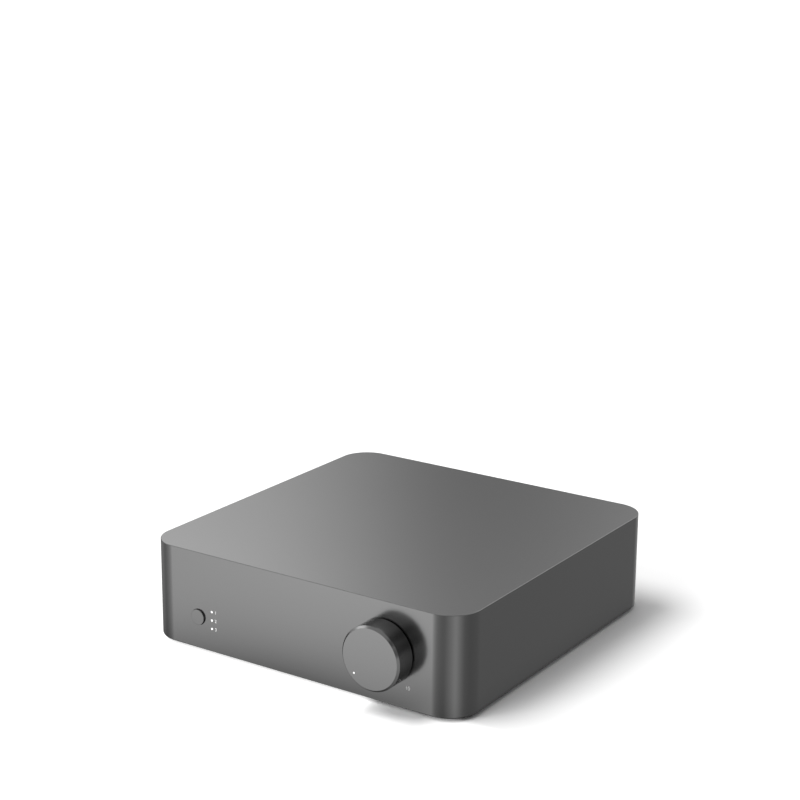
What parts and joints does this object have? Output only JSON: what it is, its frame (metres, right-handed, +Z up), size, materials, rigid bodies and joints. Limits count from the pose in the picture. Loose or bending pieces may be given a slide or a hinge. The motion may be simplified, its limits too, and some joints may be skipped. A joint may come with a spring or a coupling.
{
  "type": "stereo amplifier",
  "caption": "Compact square stereo amplifier with rounded corners, a large volume knob and power button in front, speaker posts and sockets behind.",
  "frame": {"origin": "on the surface the feet stand on, under the middle of the housing", "axes": "front panel faces -Y, sockets face +Y, +X to the right seen from the front, +Z up"},
  "size_m": [0.2, 0.2264, 0.0567],
  "materials": {
    "anodised_aluminium": "satin, dark grey anodised",
    "dark_sheet_steel": "fine textured black powder coat",
    "black_moulding": "fine spark texture",
    "red_moulding": "glossy",
    "white_moulding": "glossy",
    "orange_moulding": "glossy",
    "gilt_brass": "polished, plated",
    "bright_metal": "nickel plated",
    "screw_steel": "black oxide",
    "foot_rubber": "matt",
    "circuit_board": "solder resist",
    "component_black": "moulded",
    "component_metal": "plain",
    "core_ferrite": "dark grey",
    "winding_tape": "wrapped tape"
  },
  "bodies": {
    "root": {"amplifier_chip": "component_black", "base_plate": "dark_sheet_steel", "base_plate_screws": "screw_steel", "board_screws": "screw_steel", "bulk_capacitor": "component_metal", "capacitor_left": "component_metal", "capacitor_right": "component_metal", "digital_jack_barrel": "gilt_brass", "digital_jack_block": "black_moulding", "digital_jack_insert": "orange_moulding", "foot_front_left": "foot_rubber", "foot_front_right": "foot_rubber", "foot_rear_left": "foot_rubber", "foot_rear_right": "foot_rubber", "front_board": "circuit_board", "heat_sink": "component_metal", "housing_shell": "anodised_aluminium", "indicator_leds": "white_moulding", "inlet_pins": "bright_metal", "light_guide": "white_moulding", "line_jack_block": "black_moulding", "line_jack_left_barrel": "gilt_brass", "line_jack_left_insert": "white_moulding", "line_jack_right_barrel": "gilt_brass", "line_jack_right_insert": "red_moulding", "main_board": "circuit_board", "mains_inlet": "black_moulding", "optical_socket": "black_moulding", "output_coil_left": "component_black", "output_coil_right": "component_black", "post_nuts": "gilt_brass", "post_stud_1": "gilt_brass", "post_stud_2": "gilt_brass", "post_stud_3": "gilt_brass", "post_stud_4": "gilt_brass", "pot_nut": "bright_metal", "potentiometer": "black_moulding", "power_board": "circuit_board", "power_switch": "black_moulding", "rear_panel": "dark_sheet_steel", "rear_panel_screws": "screw_steel", "ribbon_cable": "component_black", "terminal_plate": "black_moulding", "transformer_core": "core_ferrite", "transformer_winding": "winding_tape"},
    "knob": {"volume_knob": "anodised_aluminium", "knob_pointer": "white_moulding", "knob_bush": "black_moulding", "pot_shaft": "bright_metal"},
    "button": {"power_button": "anodised_aluminium"},
    "shutter": {"optical_shutter": "black_moulding"},
    "post_sleeve_body_1": {"post_sleeve_1": "gilt_brass"},
    "post_cap_body_1": {"post_cap_1": "black_moulding"},
    "post_sleeve_body_2": {"post_sleeve_2": "gilt_brass"},
    "post_cap_body_2": {"post_cap_2": "red_moulding"},
    "post_sleeve_body_3": {"post_sleeve_3": "gilt_brass"},
    "post_cap_body_3": {"post_cap_3": "black_moulding"},
    "post_sleeve_body_4": {"post_sleeve_4": "gilt_brass"},
    "post_cap_body_4": {"post_cap_4": "red_moulding"}
  },
  "joints": [
    {"name": "knob_turn", "type": "hinge", "parent": "root", "child": "knob", "pos_m": [0.055, -0.1006, 0.0301], "axis": [0, 1, 0], "range_deg": [0, 270]},
    {"name": "power_button_press", "type": "slide", "parent": "root", "child": "button", "axis": [0, 1, 0], "range_m": [0, 0.0005], "stiffness_N_per_m": 1500, "springref_m": -0.0003},
    {"name": "shutter_open", "type": "hinge", "parent": "root", "child": "shutter", "pos_m": [0.066, 0.0986, 0.0206], "axis": [-1, 0, 0], "range_deg": [0, 85], "stiffness_Nm_per_rad": 0.0002, "springref_deg": -20.05},
    {"name": "post_1_travel", "type": "slide", "parent": "root", "child": "post_sleeve_body_1", "axis": [0, 1, 0], "range_m": [0, 0.004]},
    {"name": "post_1_turn", "type": "hinge", "parent": "post_sleeve_body_1", "child": "post_cap_body_1", "pos_m": [-0.033, 0.1016, 0.02925], "axis": [0, 1, 0], "range_deg": [0, 1441]},
    {"name": "post_2_travel", "type": "slide", "parent": "root", "child": "post_sleeve_body_2", "axis": [0, 1, 0], "range_m": [0, 0.004]},
    {"name": "post_2_turn", "type": "hinge", "parent": "post_sleeve_body_2", "child": "post_cap_body_2", "pos_m": [-0.014, 0.1016, 0.02925], "axis": [0, 1, 0], "range_deg": [0, 1441]},
    {"name": "post_3_travel", "type": "slide", "parent": "root", "child": "post_sleeve_body_3", "axis": [0, 1, 0], "range_m": [0, 0.004]},
    {"name": "post_3_turn", "type": "hinge", "parent": "post_sleeve_body_3", "child": "post_cap_body_3", "pos_m": [0.005, 0.1016, 0.02925], "axis": [0, 1, 0], "range_deg": [0, 1441]},
    {"name": "post_4_travel", "type": "slide", "parent": "root", "child": "post_sleeve_body_4", "axis": [0, 1, 0], "range_m": [0, 0.004]},
    {"name": "post_4_turn", "type": "hinge", "parent": "post_sleeve_body_4", "child": "post_cap_body_4", "pos_m": [0.024, 0.1016, 0.02925], "axis": [0, 1, 0], "range_deg": [0, 1441]}
  ],
  "couplings": [
    {"joint": "post_1_turn", "follows": "post_1_travel", "rad_per_m": 6283.2},
    {"joint": "post_2_turn", "follows": "post_2_travel", "rad_per_m": 6283.2},
    {"joint": "post_3_turn", "follows": "post_3_travel", "rad_per_m": 6283.2},
    {"joint": "post_4_turn", "follows": "post_4_travel", "rad_per_m": 6283.2}
  ]
}
